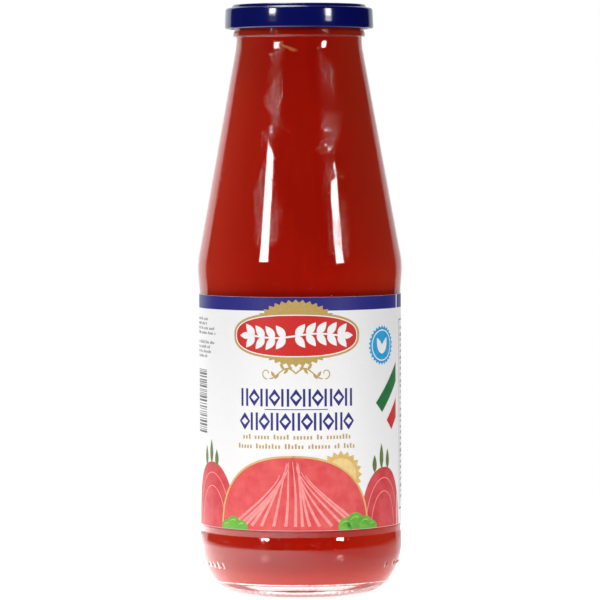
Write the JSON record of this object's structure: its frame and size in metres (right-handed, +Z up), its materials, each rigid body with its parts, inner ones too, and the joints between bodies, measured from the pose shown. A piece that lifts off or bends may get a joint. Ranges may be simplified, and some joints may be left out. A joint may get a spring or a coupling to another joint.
{
  "type": "passata bottle",
  "caption": "Glass bottle of tomato passata with a conical shoulder, a twist-off metal cap and a wrap-round paper label.",
  "frame": {"origin": "middle of the standing ring under the bottle, on the surface that it stands on", "axes": "+Z up along the bottle's axis, -Y out of the middle of the label's front, +X towards the label's seam"},
  "size_m": [0.0776, 0.0776, 0.2224],
  "materials": {
    "glass": "gloss",
    "tomato_sauce": "wet",
    "lacquered_tinplate": "gloss",
    "label_paper": "satin"
  },
  "bodies": {
    "root": {"bottle": "glass", "sauce": "tomato_sauce", "cap": "lacquered_tinplate", "label": "label_paper"}
  },
  "joints": []
}
